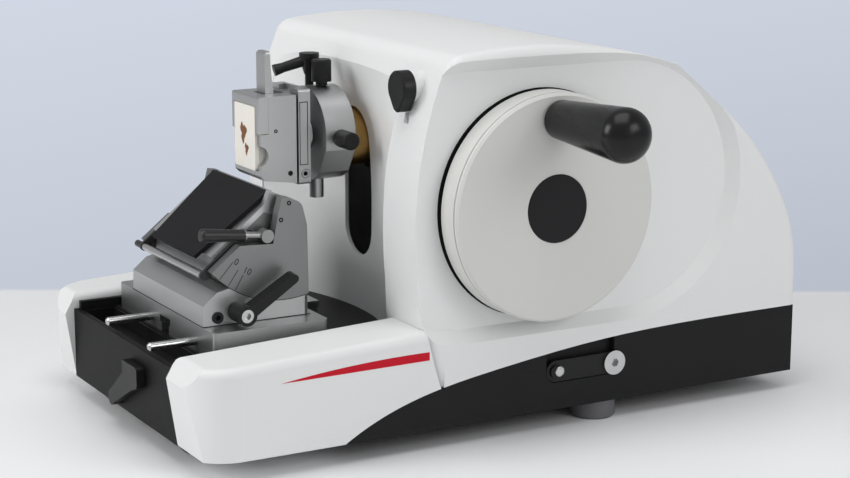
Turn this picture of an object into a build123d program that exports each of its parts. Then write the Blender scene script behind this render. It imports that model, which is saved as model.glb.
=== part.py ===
from build123d import *
import math
import os

os.makedirs("parts", exist_ok=True)

# Rotary microtome, in millimetres, +Z up. The operator stands at -Y and turns the
# handwheel at +X. The origin is on the table, at the middle of the whole outline.

# Datum lines
mid_x = -40.0            # middle of the deck and of the T guide
work_x = mid_x + 3.0     # middle of the specimen head and of the knife
axis_y = 16.0            # handwheel axis
axis_z = 158.4
head_z = 189.0           # specimen cylinder axis at the top of its stroke
drum_z = head_z + 5.5    # middle of the orienting head
edge_y = -137.7          # cutting edge
edge_z = 165.3
stroke = 59.0            # vertical travel of the specimen
feed_back = 6.0          # feed left behind the rest place
feed_ahead = 19.0        # feed left in front of it
running = 0.05           # radial clearance of a turning or sliding fit
slip = 0.3               # gap between faces that move past each other

# Housing and base
body_left = -174.0
body_right = 106.0
rear_y = 236.0
nose_y = -236.0
top_z = 265.0
wall = 4.0
base_inset = 1.0         # base sides behind the skin of the housing
base_bottom = 13.5
base_rear = rear_y - 2.5
deck_z = 63.4
inner_top = 60.0         # bedplate inside the housing
well_left = mid_x - 94.0
well_right = mid_x + 94.0
panel_y = -229.3
panel_thick = 4.0
rib = 4.0                # raised edges beside the deck
rib_z = 69.0
pit_rear = -199.5        # pit of the waste tray
pit_floor = 50.5
clamp_x = -12.0          # shaft of the base clamp behind the front panel
clamp_z = 45.0
clamp_r = 4.0
skirt_points = [(-134.0, base_bottom), (-93.0, 32.8), (-17.0, 48.8), (64.0, 58.4),
                (149.0, 62.2), (base_rear, 62.7)]

# Front and top of the housing, in the YZ plane
front_foot = (-60.0, 36.0)
front_bulge = (-78.5, 145.0)
front_top = (-54.0, 260.5)
crown = (5.0, top_z)
shoulder = (127.0, 245.3)
back_points = [(190.0, 191.0), (224.0, 141.0), (rear_y, 82.0)]
left_lean = 11.0         # inward lean of the left side over its height
top_round = 14.0         # radius between front and top

# Handwheel brake on the base
brake_x = 100.0
brake_half = 7.5
brake_hub = 8.6
brake_pivot = (76.5, 40.6)
brake_end = (28.8, 40.4)

# Front trough and slot
trough_half = 95.0       # half width of the trough
trough_y = -48.0         # deepest line of the trough
skin = 2.0               # wall at the bottom of the trough
slot_width = 42.0
slot_low = 103.0
slot_high = 211.0

# Recess of the handwheel
recess_x = 99.0
recess_mid_z = 164.0
recess_r = 86.0
recess_rear = 172.0
recess_front = -130.0

# Thickness knob
knob_x = 71.0
knob_z = 238.5
knob_back = -68.2        # back of the knob, just clear of the curved front
knob_front = -77.5

# Handwheel
wheel_r = 77.2
wheel_back = 103.0
wheel_face = 123.0
cap_r = 23.0
cap_depth = 3.0          # cap let into the wheel
grip_radius = 60.0       # grip axis from the wheel axis
grip_end = 213.0
grip_r_base = 13.0
grip_r_end = 17.8
spindle_r = 5.0
shaft_r = 10.0
crank_r = 44.0
crank_x = (24.0, 34.0)
crank_pin_r = 6.0
yoke_x = (6.0, 11.6)
pin_gap = 0.4            # end play between the crank pin and the yoke

# Carriage on its two guide rods
rod_offset = 30.0
rod_y = 46.0
rod_r = 8.0
rod_top = 250.0
bush_wall = 3.0
cylinder_r = 20.0
cylinder_front = -67.0
cylinder_rear = 20.0
screw_r = 5.0
shaft_y = 84.0           # upright splined shaft of the coarse feed
coarse_z = 96.0
bevel_near = 9.0         # bevel gears, from the point where their axes cross
bevel_far = 14.0


def block(x, y, z, mode=Mode.ADD):
    """A box between three pairs of limits."""
    with Locations(((x[0] + x[1]) / 2, (y[0] + y[1]) / 2, (z[0] + z[1]) / 2)):
        Box(x[1] - x[0], y[1] - y[0], z[1] - z[0], mode=mode)


def bar(start, direction, length, radius, mode=Mode.ADD):
    """A round bar that starts at a point and runs along a direction."""
    with Locations(Plane(origin=start, z_dir=direction)):
        Cylinder(radius, length, align=(Align.CENTER, Align.CENTER, Align.MIN), mode=mode)


def taper(start, direction, length, radius, end_radius, mode=Mode.ADD):
    """A cone that starts at a point and runs along a direction."""
    with Locations(Plane(origin=start, z_dir=direction)):
        Cone(radius, end_radius, length, align=(Align.CENTER, Align.CENTER, Align.MIN), mode=mode)


def link(start, end, width):
    """A bar with round ends between two points of a sketch."""
    with Locations(((start[0] + end[0]) / 2, (start[1] + end[1]) / 2)):
        angle = math.degrees(math.atan2(end[1] - start[1], end[0] - start[0]))
        SlotCenterToCenter(math.dist(start, end), width, rotation=angle)


def save(piece, label):
    """Names a finished piece and writes its STEP file."""
    piece.part.label = label
    export_step(piece.part, f"parts/{label}.step")


def skirt():
    """Side outline of everything below the housing's lower edge."""
    with BuildSketch() as outline:
        with BuildLine():
            edge = Spline(*skirt_points)
            Polyline(edge @ 1, (rear_y + 5, skirt_points[-1][1]), (rear_y + 5, -10),
                     (skirt_points[0][0] - 20, -10), (skirt_points[0][0] - 20, base_bottom),
                     edge @ 0)
        make_face()
    return outline.sketch


def housing(inset, foot_z):
    """Side outline of the housing, moved in by an inset."""
    with BuildSketch() as outline:
        with BuildLine():
            front = ThreePointArc((front_foot[0] + inset, front_foot[1]),
                                  (front_bulge[0] + inset, front_bulge[1]),
                                  (front_top[0] + inset, front_top[1] - inset))
            roof = ThreePointArc(front @ 1, (crown[0], crown[1] - inset),
                                 (shoulder[0] - inset / 2, shoulder[1] - inset))
            back = Spline(roof @ 1, *[(y - inset, z - inset / 2) for y, z in back_points],
                          tangents=[(0.75, -0.66), (0, -1)])
            Polyline(back @ 1, (rear_y - inset, foot_z), (front_foot[0] + inset, foot_z),
                     front @ 0)
        make_face()
        fillet(outline.vertices().sort_by_distance(front @ 1)[0], top_round - inset)
    return outline.sketch


def front_y(z):
    """Front face of the housing at a height: a circle through three points."""
    (y1, z1), (y2, z2), (y3, z3) = front_foot, front_bulge, front_top
    a, b, c, d = y2 - y1, z2 - z1, y3 - y1, z3 - z1
    e, f = (a * a + b * b) / 2, (c * c + d * d) / 2
    mid_y = (e * d - f * b) / (a * d - b * c)
    mid_z = (a * f - c * e) / (a * d - b * c)
    radius = math.hypot(mid_y, mid_z)
    return y1 + mid_y - math.sqrt(radius ** 2 - (z - z1 - mid_z) ** 2)


def front_outline(inset):
    """Front outline of the housing: the left side leans in, the right side is upright."""
    with BuildSketch() as outline:
        with BuildLine():
            Polyline((body_left + inset, 0), (body_left + left_lean + inset, top_z + 10),
                     (body_right, top_z + 10), (body_right, 0), close=True)
        make_face()
    return outline.sketch


# Base casting
with BuildPart() as base_casting:
    with BuildSketch(Plane.YZ.offset(body_left + base_inset)):
        add(skirt())
    extrude(amount=body_right - body_left - 2 * base_inset)
    block((body_left, body_right), (skirt_points[0][0], base_rear), (base_bottom, 80),
          mode=Mode.INTERSECT)
    # bedplate inside the housing and deck between the arms
    inner_x = (body_left + 2 * wall + 3, recess_x - wall - slip)
    inner_y = (-52, base_rear - wall - 1)
    block(inner_x, inner_y, (base_bottom, inner_top))
    block(inner_x, inner_y, (inner_top, 90), mode=Mode.SUBTRACT)
    block((well_left, well_right), (panel_y + panel_thick, -46), (base_bottom, deck_z))
    for x in ((well_left, well_left + rib), (well_right - rib, well_right)):
        block(x, (panel_y + panel_thick, -82), (deck_z, rib_z))
    # hollow underside
    block((-146, 70), (-172, 218), (base_bottom, 46), mode=Mode.SUBTRACT)
    # pit for the waste tray
    block((well_left + rib, well_right - rib), (panel_y + panel_thick, pit_rear),
          (pit_floor, deck_z + 10), mode=Mode.SUBTRACT)
    # brake lever recess and its shaft hole
    with BuildSketch(Plane.YZ.offset(brake_x - slip)):
        link(brake_pivot, brake_end, 2 * brake_half + 1)
        with Locations(brake_pivot):
            Circle(brake_hub + 0.6)
        with BuildLine():
            Polyline(brake_pivot, (brake_pivot[0], 70), (brake_end[0] - brake_half - 0.5, 70),
                     (brake_end[0] - brake_half - 0.5, brake_end[1]), close=True)
        make_face()
    extrude(amount=20, mode=Mode.SUBTRACT)
    bar((75, *brake_pivot), (1, 0, 0), 30, 4 + running, mode=Mode.SUBTRACT)
    # hole for the clamp shaft behind the front panel
    bar((clamp_x, panel_y, clamp_z), (0, 1, 0), 40, clamp_r + running, mode=Mode.SUBTRACT)
save(base_casting, "base_casting")

with BuildPart() as front_panel:
    block((well_left, well_right), (panel_y, panel_y + panel_thick), (base_bottom, deck_z))
    bar((clamp_x, panel_y - 1, clamp_z), (0, 1, 0), panel_thick + 2, clamp_r + running,
        mode=Mode.SUBTRACT)
save(front_panel, "front_panel")

# Section waste tray in the pit behind the front panel
tray_gap = 0.4
with BuildPart() as waste_tray:
    tray_x = (well_left + rib + tray_gap, well_right - rib - tray_gap)
    tray_y = (panel_y + panel_thick + tray_gap, pit_rear - tray_gap)
    block(tray_x, tray_y, (pit_floor, deck_z - 1))
    block((tray_x[0] + 1.5, tray_x[1] - 1.5), (tray_y[0] + 1.5, tray_y[1] - 1.5),
          (pit_floor + 1.5, deck_z), mode=Mode.SUBTRACT)
save(waste_tray, "waste_tray")

# Feet
foot_r = 15.5
foot_places = [(88.7, 70.3), (-156.0, 70.3), (30.0, -200.0), (-110.0, -200.0)]
with BuildPart() as rubber_feet:
    for x, y in foot_places:
        bar((x, y, 0), (0, 0, 1), base_bottom, foot_r)
    chamfer(rubber_feet.edges().group_by(Axis.Z)[0], 1.2)
save(rubber_feet, "rubber_feet")

# Room inside the housing, with pockets behind its two front columns
with BuildPart() as cavity:
    with BuildSketch(Plane.YZ.offset(body_left)):
        add(housing(wall, 20))
    extrude(amount=recess_x - wall - body_left)
    with BuildSketch(Plane.XZ.offset(-rear_y - 10)):
        add(front_outline(2 * wall))
    extrude(amount=2 * rear_y, mode=Mode.INTERSECT)
    block((well_left - slip, well_right + slip), (-100, trough_y + skin),
          (0, 300), mode=Mode.SUBTRACT)

# Hollow of the front, from arcs that get flatter towards the top
trough_sections = [(deck_z - 15, trough_y - 1), (110, trough_y), (165, trough_y),
                   (205, trough_y - 4), (232, -57.5), (252, -62.5)]
with BuildPart() as trough:
    for z, deep in trough_sections:
        with BuildSketch(Plane.XY.offset(z)):
            with BuildLine():
                lip = min(front_y(z), deep - 0.5)
                hollow = ThreePointArc((mid_x - trough_half, lip), (mid_x, deep),
                                       (mid_x + trough_half, lip))
                Polyline(hollow @ 1, (mid_x + trough_half, -120), (mid_x - trough_half, -120),
                         hollow @ 0)
            make_face()
    loft()

# Moulded housing
with BuildPart() as cover:
    with BuildSketch(Plane.YZ.offset(body_left)):
        add(housing(0, 10))
    extrude(amount=body_right - body_left)
    with BuildSketch(Plane.XZ.offset(-rear_y - 10)):
        add(front_outline(0))
    extrude(amount=2 * rear_y, mode=Mode.INTERSECT)
    right_rim = [e for e in cover.edges().group_by(Axis.X)[-1] if e.center().Z > 60]
    fillet(right_rim, 7)
    left_face = cover.faces().sort_by(Axis.X)[0]
    left_rim = [e for e in left_face.edges() if e.center().Z > 60]
    fillet(left_rim, 15)
    add(trough, mode=Mode.SUBTRACT)
    add(cavity, mode=Mode.SUBTRACT)
    # everything below the lower edge, and the part over the deck
    with BuildSketch(Plane(origin=(body_left - 5, 0, slip), x_dir=(0, 1, 0), z_dir=(1, 0, 0))):
        add(skirt())
    extrude(amount=body_right - body_left + 10, mode=Mode.SUBTRACT)
    block((well_left - slip, well_right + slip), (-100, -40), (0, deck_z), mode=Mode.SUBTRACT)
    # slot for the specimen cylinder
    with BuildSketch(Plane.XZ.offset(30)):
        with Locations((work_x, (slot_low + slot_high) / 2)):
            SlotOverall(slot_high - slot_low, slot_width, rotation=90)
    extrude(amount=60, mode=Mode.SUBTRACT)
    # dish behind the handwheel
    with BuildSketch(Plane.YZ.offset(recess_x)):
        with Locations(((recess_front + recess_rear) / 2, recess_mid_z)):
            SlotOverall(recess_rear - recess_front, 2 * recess_r)
    extrude(amount=body_right - recess_x, taper=-50, mode=Mode.SUBTRACT)
    # pocket behind the trough's wall, so that the slot's lip is thin
    block((work_x - 34, work_x + 34), (trough_y + skin, trough_y + 12), (slot_low - 8, slot_high + 8),
          mode=Mode.SUBTRACT)
    # boss behind the thickness knob
    bar((knob_x, knob_back + slip, knob_z), (0, 1, 0), 11, 10)
    # holes for the main shaft, the thickness spindle and the coarse feed shaft
    bar((60, axis_y, axis_z), (1, 0, 0), 60, 16, mode=Mode.SUBTRACT)
    bar((knob_x, -90, knob_z), (0, 1, 0), 60, 4 + running, mode=Mode.SUBTRACT)
    bar((-180, shaft_y, coarse_z), (1, 0, 0), 40, 7, mode=Mode.SUBTRACT)
save(cover, "cover")

# Front arms
arm_top = [(-228.0, 74.0), (-50.0, 82.0)]
nose_lean = 7.0          # how far the foot of the nose lies behind its top
for name, x_in, x_out in (("right", well_right, body_right), ("left", well_left, body_left)):
    hand = 1 if name == "right" else -1
    with BuildPart() as arm:
        # plan with a round outer nose
        with BuildSketch(Plane.XY):
            with Locations(((x_in + x_out) / 2, (nose_y - 40) / 2)):
                Rectangle(abs(x_out - x_in), -40 - nose_y)
            corners = vertices().group_by(Axis.Y)[0].sort_by(Axis.X)
            fillet(corners[-1 if hand > 0 else 0], 30)
            fillet(corners[0 if hand > 0 else -1], 8)
        extrude(amount=100)
        # side view: leaning nose and sloping top
        with BuildSketch(Plane.YZ.offset(-300)):
            with BuildLine():
                Polyline((nose_y + nose_lean, 14), (nose_y, 60), arm_top[0], arm_top[1], (-40, 14),
                         close=True)
            make_face()
        extrude(amount=600, mode=Mode.INTERSECT)
        upper = arm.faces().filter_by(lambda f: f.normal_at().Z > 0.8).sort_by(Axis.Z)[-1]
        fillet(upper.edges(), 6)
        # housing front and skirt line
        with BuildSketch(Plane(origin=(-200, -slip, 0), x_dir=(0, 1, 0), z_dir=(1, 0, 0))):
            add(housing(0, -20))
        extrude(amount=400, mode=Mode.SUBTRACT)
        with BuildSketch(Plane(origin=(-200, 0, slip), x_dir=(0, 1, 0), z_dir=(1, 0, 0))):
            add(skirt())
        extrude(amount=400, mode=Mode.SUBTRACT)
    save(arm, f"arm_{name}")

# T rail bolted to the deck
t_head = 8.7             # half width of the rail head
t_neck = 6.1
t_mid = mid_x + 0.2
rail_z = (69.6, 74.4)
rail_y = (-184.0, -84.0)
with BuildPart() as deck_rail:
    block((t_mid - t_neck, t_mid + t_neck), rail_y, (deck_z, rail_z[0]))
    block((t_mid - t_head, t_mid + t_head), rail_y, rail_z)
    with Locations(*[(t_mid, y, rail_z[1]) for y in (-170, -135, -100)]):
        CounterSinkHole(2.2, 4.2)
save(deck_rail, "deck_rail")

# Pedestal and bushes of the main shaft
with BuildPart() as main_bearing:
    block((56, 92), (axis_y - 34, axis_y + 34), (inner_top, inner_top + 10))
    with BuildSketch(Plane.YZ.offset(60)):
        with BuildLine():
            Polyline((axis_y - 14, axis_z), (axis_y - 28, inner_top + 10),
                     (axis_y + 28, inner_top + 10), (axis_y + 14, axis_z), close=True)
        make_face()
        with Locations((axis_y, axis_z)):
            Circle(24)
    extrude(amount=28)
    bar((50, axis_y, axis_z), (1, 0, 0), 50, shaft_r + 4, mode=Mode.SUBTRACT)
    with Locations((74, axis_y, 100)):
        Box(16, 100, 40, mode=Mode.SUBTRACT)
save(main_bearing, "main_bearing")

with BuildPart() as main_bushes:
    for x in (60, 78):
        bar((x, axis_y, axis_z), (1, 0, 0), 10, shaft_r + 4)
    bar((50, axis_y, axis_z), (1, 0, 0), 50, shaft_r + running, mode=Mode.SUBTRACT)
save(main_bushes, "main_bushes")

# Upright guide frame with its two rods, behind the carriage
frame_x = (work_x - rod_offset - 26, work_x + rod_offset + 26)
frame_y = (34.0, 70.0)
frame_low = inner_top + 10
frame_high = 230.0
with BuildPart() as guide_frame:
    block(frame_x, frame_y, (inner_top, frame_low))
    block(frame_x, frame_y, (frame_high, frame_high + 12))
    for x in ((frame_x[0], work_x - 26), (work_x + 26, frame_x[1])):
        block(x, (60, 70), (frame_low, frame_high))
    for x in (work_x - rod_offset, work_x + rod_offset):
        bar((x, rod_y, inner_top - 1), (0, 0, 1), 200, rod_r, mode=Mode.SUBTRACT)
    # passage for the upright shaft and its sliding gear
    block((work_x - 18, work_x + 18), (58, 80), (inner_top - 1, frame_high + 20),
          mode=Mode.SUBTRACT)
save(guide_frame, "guide_frame")

with BuildPart() as guide_rods:
    for x in (work_x - rod_offset, work_x + rod_offset):
        bar((x, rod_y, inner_top), (0, 0, 1), frame_high + 12 - inner_top, rod_r)
save(guide_rods, "guide_rods")

# Carriage that goes up and down with the specimen
bush_r = rod_r + bush_wall
carriage_x = (work_x - rod_offset - bush_r - 4, work_x + rod_offset + bush_r + 4)
carriage_y = (-30.0, 58.0)
carriage_z = (head_z - 32, head_z + 28)
bore_end = 30.0
nut_r = 13.0
spindle_gear_y = shaft_y - bevel_far
arm_z = (head_z - 24, head_z - 18)
with BuildPart() as carriage:
    block(carriage_x, (30, carriage_y[1]), carriage_z)
    block((work_x - 27, work_x + 27), (carriage_y[0], 30), (head_z - 27, head_z + 27))
    block((work_x, carriage_x[1]), (axis_y - 44, 30), (head_z - 26, head_z + 16))
    for x in (work_x - rod_offset, work_x + rod_offset):
        bar((x, rod_y, 100), (0, 0, 1), 200, bush_r, mode=Mode.SUBTRACT)
    bar((work_x, carriage_y[0] - 1, head_z), (0, 1, 0), bore_end + 31, cylinder_r + running,
        mode=Mode.SUBTRACT)
    bar((work_x, 0, head_z), (0, 1, 0), 80, screw_r + 1 + running, mode=Mode.SUBTRACT)
    # bracket that takes the sliding gear along
    block((work_x - 10, work_x + 13), (50, shaft_y + 12), arm_z)
    bar((work_x, shaft_y, 100), (0, 0, 1), 120, 7, mode=Mode.SUBTRACT)
    fillet(carriage.edges().filter_by(Axis.Y).group_by(Axis.Y)[0], 3)
save(carriage, "carriage")

with BuildPart() as carriage_bushes:
    for x in (work_x - rod_offset, work_x + rod_offset):
        bar((x, rod_y, carriage_z[0]), (0, 0, 1), carriage_z[1] - carriage_z[0], bush_r)
        bar((x, rod_y, 100), (0, 0, 1), 200, rod_r + running, mode=Mode.SUBTRACT)
save(carriage_bushes, "carriage_bushes")

# Crank drive of the carriage
crank_radius = stroke / 2
pin_z = axis_z + crank_radius
yoke_left = carriage_x[1]
yoke_right = yoke_left + 9
with BuildPart() as yoke_plate:
    block((yoke_left, yoke_right), (axis_y - 44, axis_y + 40), (pin_z - 15, pin_z + 15))
    with BuildSketch(Plane.YZ.offset(yoke_right)):
        with Locations((axis_y, pin_z)):
            SlotOverall(2 * (crank_radius + crank_pin_r + 2), 2 * crank_pin_r + 0.4)
    extrude(amount=-6.5, mode=Mode.SUBTRACT)
    fillet(yoke_plate.edges().filter_by(Axis.X).group_by(Axis.Z)[-1], 3)
save(yoke_plate, "yoke_plate")

with BuildPart() as main_shaft:
    bar((crank_x[0] + 2, axis_y, axis_z), (1, 0, 0), wheel_face - cap_depth - crank_x[0] - 2, shaft_r)
save(main_shaft, "main_shaft")

with BuildPart() as crank_disc:
    with BuildSketch(Plane.YZ.offset(crank_x[0])):
        with Locations((axis_y, axis_z)):
            Circle(crank_r)
    extrude(amount=crank_x[1] - crank_x[0])
    # windows beside the crank pin leave the balance weight below
    with BuildSketch(Plane.YZ.offset(crank_x[0])):
        for hand in (-1, 1):
            with Locations((axis_y + hand * 24, axis_z + 10)):
                Circle(9)
    extrude(amount=20, mode=Mode.SUBTRACT)
    bar((crank_x[0] + 2, axis_y, axis_z), (1, 0, 0), 20, shaft_r, mode=Mode.SUBTRACT)
    bar((crank_x[0], axis_y, pin_z), (1, 0, 0), 8, crank_pin_r - 1, mode=Mode.SUBTRACT)
    bar((crank_x[1], axis_y, axis_z), (1, 0, 0), 12, shaft_r + 7)
    bar((crank_x[1], axis_y, axis_z), (1, 0, 0), 20, shaft_r, mode=Mode.SUBTRACT)
save(crank_disc, "crank_disc")

with BuildPart() as crank_pin:
    bar((crank_x[0], axis_y, pin_z), (1, 0, 0), 8, crank_pin_r - 1)
    bar((yoke_right + pin_gap, axis_y, pin_z), (1, 0, 0), crank_x[0] - yoke_right - pin_gap,
        crank_pin_r)
save(crank_pin, "crank_pin")

# Handwheel
with BuildPart() as handwheel:
    with BuildSketch(Plane.XY.offset(axis_z)):
        with BuildLine():
            Polyline((wheel_back, axis_y + shaft_r), (wheel_back, axis_y + 24),
                     (wheel_back + 8, axis_y + 26), (wheel_back + 8, axis_y + 66),
                     (wheel_back, axis_y + 68), (wheel_back, axis_y + wheel_r),
                     (wheel_face - 4.4, axis_y + wheel_r), (wheel_face - 4.4, axis_y + wheel_r - 0.8),
                     (wheel_face - 3.4, axis_y + wheel_r - 0.8), (wheel_face - 3.4, axis_y + wheel_r - 0.2),
                     (wheel_face - 1.5, axis_y + wheel_r - 0.4), (wheel_face, axis_y + wheel_r - 2),
                     (wheel_face, axis_y + cap_r + 0.2), (wheel_face - cap_depth, axis_y + cap_r + 0.2),
                     (wheel_face - cap_depth, axis_y + shaft_r), close=True)
        make_face()
    revolve(axis=Axis((0, axis_y, axis_z), (1, 0, 0)))
    grip_z = axis_z + grip_radius
    bar((wheel_back, axis_y, grip_z), (1, 0, 0), wheel_face - wheel_back, 11)
    bar((wheel_back - 1, axis_y, grip_z), (1, 0, 0), 30, spindle_r, mode=Mode.SUBTRACT)
save(handwheel, "handwheel")

with BuildPart() as wheel_cap:
    with BuildSketch(Plane.XY.offset(axis_z)):
        with BuildLine():
            Polyline((wheel_face - cap_depth, axis_y), (wheel_face - cap_depth, axis_y + cap_r),
                     (wheel_face + 0.2, axis_y + cap_r), (wheel_face + 0.8, axis_y + cap_r - 0.6),
                     (wheel_face + 0.8, axis_y), close=True)
        make_face()
    revolve(axis=Axis((0, axis_y, axis_z), (1, 0, 0)))
save(wheel_cap, "wheel_cap")

with BuildPart() as grip_spindle:
    bar((wheel_back, axis_y, grip_z), (1, 0, 0), grip_end - 10.5 - wheel_back, spindle_r)
save(grip_spindle, "grip_spindle")

with BuildPart() as handle_grip:
    with BuildSketch(Plane.XY.offset(grip_z)):
        with BuildLine():
            foot = Polyline((wheel_face + 1, axis_y), (wheel_face + 1, axis_y + grip_r_base - 1),
                            (wheel_face + 2.5, axis_y + grip_r_base))
            flare = Line(foot @ 1, (grip_end - 16, axis_y + grip_r_end))
            end = Spline(flare @ 1, (grip_end - 5, axis_y + 13.6), (grip_end, axis_y + 1),
                         tangents=[(1, 0.06), (0, -1)])
            Polyline(end @ 1, (grip_end, axis_y), foot @ 0)
        make_face()
    revolve(axis=Axis((0, axis_y, grip_z), (1, 0, 0)))
    bar((wheel_face, axis_y, grip_z), (1, 0, 0), grip_end - 10 - wheel_face, spindle_r + running,
        mode=Mode.SUBTRACT)
save(handle_grip, "handle_grip")

# Specimen cylinder and its fine feed
with BuildPart() as specimen_cylinder:
    bar((work_x, cylinder_front, head_z), (0, 1, 0), cylinder_rear - cylinder_front, cylinder_r)
    bar((work_x, -32, head_z), (0, 1, 0), 80, screw_r + 2, mode=Mode.SUBTRACT)
    bar((work_x, cylinder_rear - 14, head_z), (0, 1, 0), 20, nut_r, mode=Mode.SUBTRACT)
save(specimen_cylinder, "specimen_cylinder")

with BuildPart() as feed_nut:
    bar((work_x, cylinder_rear - 14, head_z), (0, 1, 0), 14, nut_r)
    bar((work_x, -40, head_z), (0, 1, 0), 90, screw_r + running, mode=Mode.SUBTRACT)
save(feed_nut, "feed_nut")

with BuildPart() as feed_spindle:
    bar((work_x, -22, head_z), (0, 1, 0), 52, screw_r)
    bar((work_x, bore_end, head_z), (0, 1, 0), spindle_gear_y - bore_end, screw_r + 1)
    bar((work_x, carriage_y[1] + slip, head_z), (0, 1, 0), 4, screw_r + 4)
    taper((work_x, spindle_gear_y - 0.3, head_z), (0, 1, 0), bevel_far - bevel_near,
          bevel_far, bevel_near)
    # plain grooves stand for the thread
    for i in range(8):
        with Locations(Plane(origin=(work_x, -19 + 4 * i, head_z), z_dir=(0, 1, 0))):
            with BuildSketch():
                Circle(screw_r + 1)
                Circle(screw_r - 0.5, mode=Mode.SUBTRACT)
            extrude(amount=0.8, mode=Mode.SUBTRACT)
save(feed_spindle, "feed_spindle")

# Coarse feed train
with BuildPart() as spline_shaft:
    bar((work_x, shaft_y, inner_top), (0, 0, 1), 150, 5)
    for i in range(6):
        with Locations(Plane(origin=(work_x, shaft_y, 100)).rotated((0, 0, 60 * i))):
            with Locations((5, 0, 50)):
                Box(1.6, 2, 120, mode=Mode.SUBTRACT)
    bar((work_x, shaft_y, coarse_z - bevel_far - 4), (0, 0, 1), 4, 9)
    taper((work_x, shaft_y, coarse_z - bevel_far - 0.3), (0, 0, 1), bevel_far - bevel_near,
          bevel_far, bevel_near)
save(spline_shaft, "spline_shaft")

with BuildPart() as sliding_gear:
    bar((work_x, shaft_y, arm_z[1] + 0.1), (0, 0, 1), head_z - bevel_far - arm_z[1] - 0.3, 9)
    taper((work_x, shaft_y, head_z - bevel_far - 0.3), (0, 0, 1), bevel_far - bevel_near,
          bevel_far, bevel_near)
    bar((work_x, shaft_y, 100), (0, 0, 1), 120, 5 + running, mode=Mode.SUBTRACT)
save(sliding_gear, "sliding_gear")

coarse_end = -grip_end
coarse_left = coarse_end + 13.0
coarse_wheel_r = 30.0
with BuildPart() as coarse_shaft:
    gear_x = work_x - bevel_far
    bar((coarse_left, shaft_y, coarse_z), (1, 0, 0), gear_x - coarse_left, 5)
    taper((gear_x - 0.3, shaft_y, coarse_z), (1, 0, 0), bevel_far - bevel_near,
          bevel_far, bevel_near)
save(coarse_shaft, "coarse_shaft")

with BuildPart() as coarse_bearing:
    block((-120, -96), (shaft_y - 16, shaft_y + 16), (inner_top, inner_top + 6))
    block((-114, -102), (shaft_y - 10, shaft_y + 10), (inner_top + 6, coarse_z))
    bar((-114, shaft_y, coarse_z), (1, 0, 0), 12, 10)
    bar((-120, shaft_y, coarse_z), (1, 0, 0), 30, 5 + running, mode=Mode.SUBTRACT)
save(coarse_bearing, "coarse_bearing")

with BuildPart() as coarse_wheel:
    with BuildSketch(Plane.YZ.offset(coarse_left)):
        with Locations((shaft_y, coarse_z)):
            Circle(coarse_wheel_r)
            with PolarLocations(coarse_wheel_r + 1, 16):
                Circle(3, mode=Mode.SUBTRACT)
    extrude(amount=18)
    fillet(coarse_wheel.faces().sort_by(Axis.X)[0].edges(), 1)
    bar((coarse_left, shaft_y, coarse_z), (1, 0, 0), 30, 5, mode=Mode.SUBTRACT)
    bar((coarse_left, shaft_y, coarse_z + 17), (1, 0, 0), 8, 2.5, mode=Mode.SUBTRACT)
save(coarse_wheel, "coarse_wheel")

with BuildPart() as coarse_finger_knob:
    bar((coarse_left, shaft_y, coarse_z + 17), (1, 0, 0), 8, 2.5)
    bar((coarse_end, shaft_y, coarse_z + 17), (1, 0, 0), 13, 6)
    fillet(coarse_finger_knob.edges().group_by(Axis.X)[0], 3)
save(coarse_finger_knob, "coarse_finger_knob")

# Orienting head: a drum on the cylinder holds a ball, and a thin cup turns between them
drum_r = 33.0
drum_y = (-90.5, cylinder_front)
ball_r = 12.0
cup = 1.7
ball_gap = 0.15
neck_r = 6.5
socket_r = ball_r + cup + 2 * ball_gap
ball_centre = (work_x, -86.0, drum_z)
knob_y = -79.0
side_knob_z = drum_z
top_knob_x = work_x + 3.0
lever_at = (work_x - 14.0, -80.0)
with BuildPart() as head_body:
    with BuildSketch(Plane.XZ.offset(-drum_y[1])):
        with Locations((work_x, drum_z)):
            Circle(drum_r)
            # two flats below, beside the bolt
            for turn in (-58, 58):
                with Locations(Location((0, 0, 0), (0, 0, turn))):
                    with Locations((0, -drum_r - 3.5)):
                        Rectangle(60, 10, mode=Mode.SUBTRACT)
            with Locations((0, -drum_r - 3.8)):
                Rectangle(60, 10, mode=Mode.SUBTRACT)
    extrude(amount=drum_y[1] - drum_y[0])
    chamfer(head_body.faces().sort_by(Axis.Y)[-1].edges(), 0.8)
    with Locations(ball_centre):
        Sphere(socket_r, mode=Mode.SUBTRACT)
    # clamp bolt below and holes of the knobs and of the lever
    bar((work_x, -82, 148.5), (0, 0, 1), 20, 5)
    bar((work_x + socket_r + 1, knob_y, side_knob_z), (1, 0, 0), 30, 3 + running, mode=Mode.SUBTRACT)
    bar((top_knob_x, knob_y, drum_z + socket_r + 1), (0, 0, 1), 30, 3 + running, mode=Mode.SUBTRACT)
    bar((*lever_at, drum_z + socket_r + 1), (0, 0, 1), 30, 3 + running, mode=Mode.SUBTRACT)
save(head_body, "head_body")

with BuildPart() as gimbal_shell:
    with Locations(ball_centre):
        Sphere(ball_r + ball_gap + cup)
        Sphere(ball_r + ball_gap, mode=Mode.SUBTRACT)
    block((work_x - 20, work_x + 20), (drum_y[0] + 0.2, -60), (drum_z - 20, drum_z + 20),
          mode=Mode.INTERSECT)
save(gimbal_shell, "gimbal_shell")

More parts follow.
